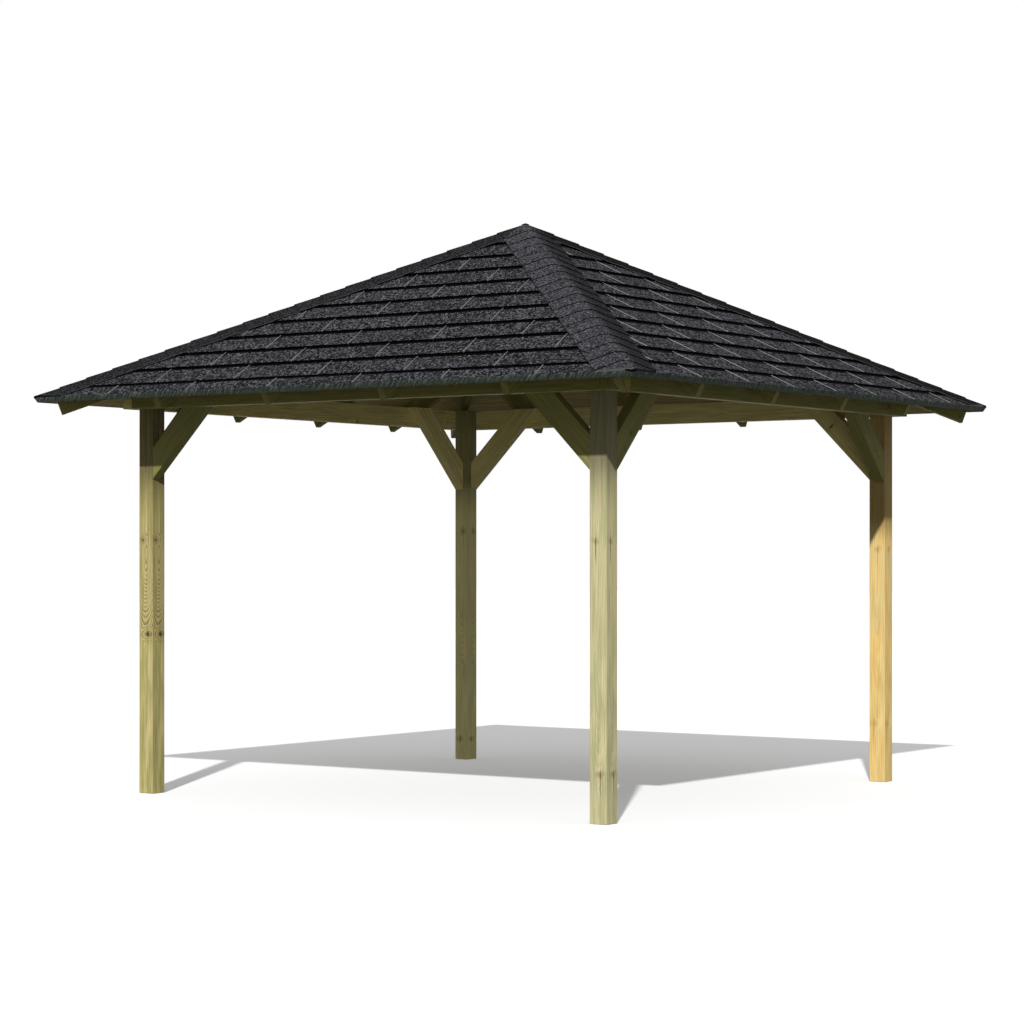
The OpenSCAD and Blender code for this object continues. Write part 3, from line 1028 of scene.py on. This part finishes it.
def cap_mesh(left_shade, right_shade):
    """One hip cap, folded over the hip with a round bend, in the hip's own axes. Seen up
    the hip, its left and right wings have their own painted light and shade."""
    wing = CAP_WING - CAP_BEND
    half = [CAP_BEND * i / BEND_PARTS for i in range(BEND_PARTS + 1)]
    half += [CAP_BEND + wing * i / WING_PARTS for i in range(1, WING_PARTS + 1)]
    across = [-s for s in half[:0:-1]] + half
    rows = [(0.0, -CAP_LIP), (CAP_LIP, 0.0)]
    rows += [(CAP_EXPOSURE * i / CAP_ROWS, 0.0) for i in range(1, CAP_ROWS + 1)]
    rows.append((CAP_EXPOSURE + CAP_LAP, 0.0))
    # Height at the hip, and at the rim of a wing, which lies closer to the shingles
    ridge = COVER_T + CAP_T - CAP_INSIDE
    rim = COVER_T + CAP_RIM
    bm = bmesh.new()
    bare = bm.faces.layers.float.new("bare")
    cut = bm.faces.layers.float.new("cut")
    shade = bm.verts.layers.float.new("shade")
    top, edge, bottom = [], [], []
    for x, drop in rows:
        above, between, below = [], [], []
        for s in across:
            share = max(abs(s) - CAP_BEND, 0.0) / wing
            height = ridge + (rim - ridge) * share + drop - CAP_STEP * x / CAP_EXPOSURE
            foot = UNDERLAY_T if share == 1.0 else COVER_T
            above.append(bm.verts.new(fold_point(x, s, height)))
            between.append(bm.verts.new(fold_point(x, s, height - CAP_CUT)))
            below.append(bm.verts.new(fold_point(x, s, foot)))
            # Painted light and shade, one for each wing
            turn = min(max((s - SHADE_START) / SHADE_WIDTH, 0.0), 1.0)
            above[-1][shade] = right_shade + (left_shade - right_shade) * turn
        top.append(above)
        edge.append(between)
        bottom.append(below)
    last = len(across) - 1
    for r in range(len(rows) - 1):
        for i in range(last):
            bm.faces.new((top[r][i], top[r + 1][i], top[r + 1][i + 1], top[r][i + 1]))
            bm.faces.new((bottom[r][i + 1], bottom[r + 1][i + 1], bottom[r + 1][i], bottom[r][i]))
        for i in (0, last):
            pale = bm.faces.new((top[r + 1][i], top[r][i], edge[r][i], edge[r + 1][i]))
            pale[cut] = 1.0
            # The lower part of each rim is black, as painted shade under the rim
            dark = bm.faces.new((edge[r + 1][i], edge[r][i], bottom[r][i], bottom[r + 1][i]))
            dark[bare] = 1.0
    for r in (0, len(rows) - 1):
        for i in range(last):
            for upper, lower in ((top[r], edge[r]), (edge[r], bottom[r])):
                end = bm.faces.new((upper[i], upper[i + 1], lower[i + 1], lower[i]))
                end[bare] = 1.0
    bmesh.ops.delete(bm, geom=[vert for vert in bm.verts if not vert.link_faces], context="VERTS")
    bmesh.ops.recalc_face_normals(bm, faces=bm.faces)
    return saved(bm, bpy.data.meshes.new("cap"))


def build_caps():
    material = cap_material()
    tree = cap_tree()
    for number, corner in enumerate(CORNERS):
        cap = cap_mesh(*CAP_PAINTED_SHADES[number])
        # A cap more than fits at each end of the hip, where they are cut off
        mesh = repeat(cap, tree, Count=math.ceil(HIP_LENGTH / CAP_EXPOSURE) + 2,
                      Exposure=CAP_EXPOSURE, Start=CAP_START - CAP_EXPOSURE,
                      Seed=CAP_SEED + number, Finish=material)
        bm = opened(mesh)
        write_lay(bm)
        bm.transform(hip_frame(number))
        turn = quarter_turn(number).to_3x3()
        planes = []
        for outwards in (Vector((1, 0, 0)), Vector((0, 1, 0))):
            planes.append((Vector((0, 0, 0)), turn @ outwards))
            planes.append((turn @ (outwards * -ROOF_HALF), turn @ -outwards))
        trim(bm, planes)
        add_piece("hip_cap_" + corner + "_caps", saved(bm, mesh), "shingle", "hip_cap_" + corner)


def build_edge_strips():
    """The felt strips, with their edges rounded."""
    material = edge_material()
    for side in SIDES:
        node = "edge_strip_" + side
        bm = whole_faces(node)
        long = [edge for edge in bm.edges if edge.calc_length() > ROOF_HALF]
        bmesh.ops.bevel(bm, geom=long, offset=FELT_ROUND, segments=FELT_STEPS, profile=0.5,
                        affect="EDGES")
        mesh = saved(bm, bpy.data.meshes.new(node + "_felt"))
        mesh.materials.append(material)
        add_piece(node + "_felt", mesh, "edge_felt", node)


# -------- stage

def seen_directly(w):
    """1 for what the camera sees, straight or in a reflection."""
    path = w.node("ShaderNodeLightPath").outputs
    either = w.most(path["Is Camera Ray"], path["Is Glossy Ray"])
    return w.most(either, path["Is Transmission Ray"])


def add_floor():
    """A plain pale floor. What bounces off it towards the object is dimmer than what the
    camera sees, so that the underside of the roof stays dark, and the low lamp shines
    through it."""
    mesh = bpy.data.meshes.new("floor")
    r = FLOOR_REACH
    mesh.from_pydata([(-r, -r, 0), (r, -r, 0), (r, r, 0), (-r, r, 0)], [], [(0, 1, 2, 3)])
    floor = new_object("floor", mesh)
    floor.visible_shadow = False
    material, w = blank_material("floor_white")
    seen = w.node("ShaderNodeBsdfDiffuse", {"Color": FLOOR_COLOR})
    glow = w.node("ShaderNodeEmission", {"Color": WHITE, "Strength": FLOOR_GLOW})
    pale = w.node("ShaderNodeAddShader", (seen.outputs[0], glow.outputs[0]))
    dim = w.node("ShaderNodeBsdfDiffuse", {"Color": FLOOR_BOUNCE})
    shown = w.node("ShaderNodeMixShader", (seen_directly(w), dim.outputs[0], pale.outputs[0]))
    w.node("ShaderNodeOutputMaterial", {"Surface": shown.outputs[0]})
    mesh.materials.append(material)


def add_light():
    """A key light from the front right, well up, a weak fill from just below the horizon
    that reaches under the roof, and a surround that looks white and lights more from above."""
    for name, (level, width, towards) in LAMPS.items():
        light = bpy.data.lights.new(name, "SUN")
        light.energy = level
        light.angle = math.radians(width)
        lamp = new_object(name, light)
        lamp.rotation_euler = Vector(towards).to_track_quat("Z", "Y").to_euler()
    world = bpy.data.worlds.new("surround")
    world.use_nodes = True
    world.node_tree.nodes.clear()
    w = Wiring(world.node_tree)
    height = w.separate(w.node("ShaderNodeTexCoord").outputs["Generated"])[2]
    level = w.line(w.most(height, 0.0), SKY_LEVEL, LEAST_LEVEL)
    fill = w.node("ShaderNodeBackground", {"Color": WHITE, "Strength": level})
    white = w.node("ShaderNodeBackground", {"Color": WHITE, "Strength": 1.0})
    shown = w.node("ShaderNodeMixShader", (seen_directly(w), fill.outputs[0], white.outputs[0]))
    w.node("ShaderNodeOutputWorld", {"Surface": shown.outputs[0]})
    bpy.context.scene.world = world


def add_camera():
    """Level, from the front right, with its frame moved up to take in the roof."""
    data = bpy.data.cameras.new("camera")
    data.lens = 94.18
    data.shift_y = 0.0392
    data.clip_end = 200.0
    camera = new_object("camera", data)
    camera.location = (7.868, -11.446, 1.217)
    camera.rotation_euler = (math.radians(90), 0, math.radians(34.79))
    bpy.context.scene.camera = camera


SOFTWOOD = softwood_group()
GRANULES = granule_group()
add_camera()
add_light()
add_floor()
build_timbers()
build_decks()
build_shingles()
build_caps()
build_edge_strips()
bpy.context.scene.view_settings.view_transform = "Standard"
